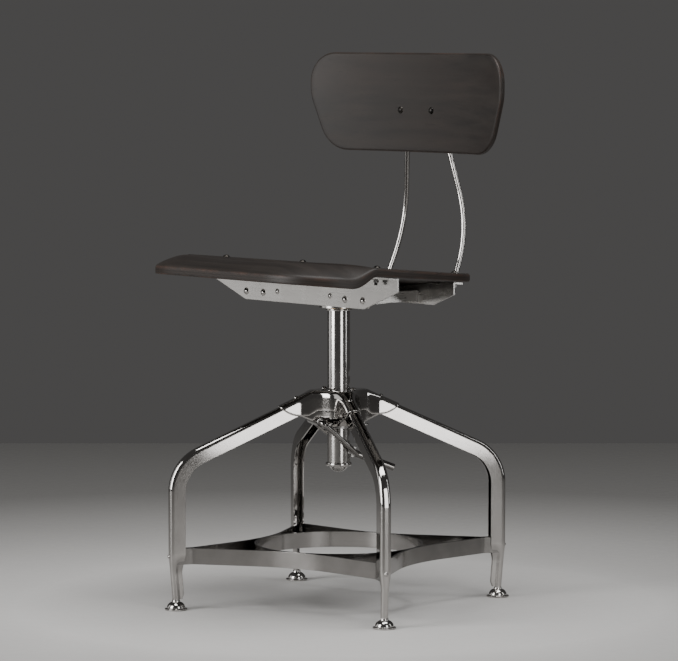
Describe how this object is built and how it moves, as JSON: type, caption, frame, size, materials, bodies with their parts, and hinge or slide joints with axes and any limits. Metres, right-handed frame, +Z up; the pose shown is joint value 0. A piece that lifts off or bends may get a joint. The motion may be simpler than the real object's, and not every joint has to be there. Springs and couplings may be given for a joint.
{
  "type": "drafting chair",
  "caption": "Swivel work chair: dark bent-wood seat and back, notched plated post, splayed channel legs, foot ring in curved strip braces, and a latch lever.",
  "frame": {"origin": "on the floor, under the swivel axis, which is the centre of the circle of foot glides", "axes": "+Z up along the post; the sitter faces -Y; +X is the sitter's left"},
  "size_m": [0.5016, 0.5016, 0.846],
  "materials": {
    "leg_plate": "polished, smoky nickel plate with fine wear",
    "strip_plate": "lengthwise brushed strip",
    "ring_plate": "plated strip, softly polished",
    "glide_plate": "polished, scuffed at the rim",
    "hub_plate": "pressed and polished plate",
    "post_plate": "polished tube with fine rings of wear",
    "lever_plate": "polished rod",
    "rod_plate": "polished rod",
    "frame_plate": "satin plate",
    "steel_dark": "blackened screw heads",
    "steel_raw": "plain steel fixings",
    "bronze": "oiled bearing bronze washer",
    "seat_wood": "very dark satin stain, worn reddish at the rim",
    "back_wood": "very dark satin stain, worn reddish at the rim"
  },
  "bodies": {
    "base": {"leg_right": "leg_plate", "leg_rear": "leg_plate", "leg_left": "leg_plate", "leg_front": "leg_plate", "foot_glide_right": "glide_plate", "foot_glide_rear": "glide_plate", "foot_glide_left": "glide_plate", "foot_glide_front": "glide_plate", "glide_stems": "steel_raw", "foot_ring": "ring_plate", "brace_right_rear": "strip_plate", "brace_rear_left": "strip_plate", "brace_left_front": "strip_plate", "brace_front_right": "strip_plate", "brace_rivets": "leg_plate", "hub_cap": "hub_plate", "hub_pan": "hub_plate", "guide_sleeve": "steel_raw", "upper_bush": "steel_raw", "lower_bush": "steel_raw", "hub_arm_rivets": "hub_plate", "hub_bolts": "hub_plate", "hub_nuts": "steel_raw", "lever_pivot_tube": "hub_plate", "stop_screw": "steel_raw"},
    "post": {"post_tube": "post_plate", "post_end_cap": "post_plate", "swivel_spindle": "post_plate", "thrust_washer": "bronze", "spindle_nut": "steel_raw"},
    "lever": {"lever_bail": "lever_plate", "lever_grip": "lever_plate", "lever_tooth": "steel_raw"},
    "seat": {"front_bracket": "frame_plate", "rear_bracket": "frame_plate", "seat_beam_left": "frame_plate", "seat_beam_right": "frame_plate", "front_bracket_bolts": "frame_plate", "rear_bracket_bolts": "frame_plate", "bracket_nuts": "steel_raw", "bracket_rivets": "frame_plate", "centre_plate": "frame_plate", "centre_plate_rivets": "steel_raw", "swivel_housing": "frame_plate", "housing_screws": "steel_raw", "rod_clamps": "steel_raw", "rod_clamp_bolts": "steel_raw", "seat_panel": "seat_wood", "seat_screws": "steel_dark", "seat_screw_nuts": "steel_raw", "backrest_panel": "back_wood", "back_rod_left": "rod_plate", "back_rod_right": "rod_plate", "backrest_screws": "steel_dark", "backrest_spacers": "steel_raw", "backrest_nuts": "steel_raw"}
  },
  "joints": [
    {"name": "seat_height", "type": "slide", "parent": "base", "child": "post", "axis": [0, 0, 1], "range_m": [-0.12, 0]},
    {"name": "seat_swivel", "type": "hinge", "parent": "post", "child": "seat", "pos_m": [0, 0, 0.458], "axis": [0, 0, 1], "continuous": true},
    {"name": "latch_lever", "type": "hinge", "parent": "base", "child": "lever", "pos_m": [-0.0151, -0.03268, 0.284], "axis": [0.9078, -0.4195, 0], "range_deg": [0, 10]}
  ]
}
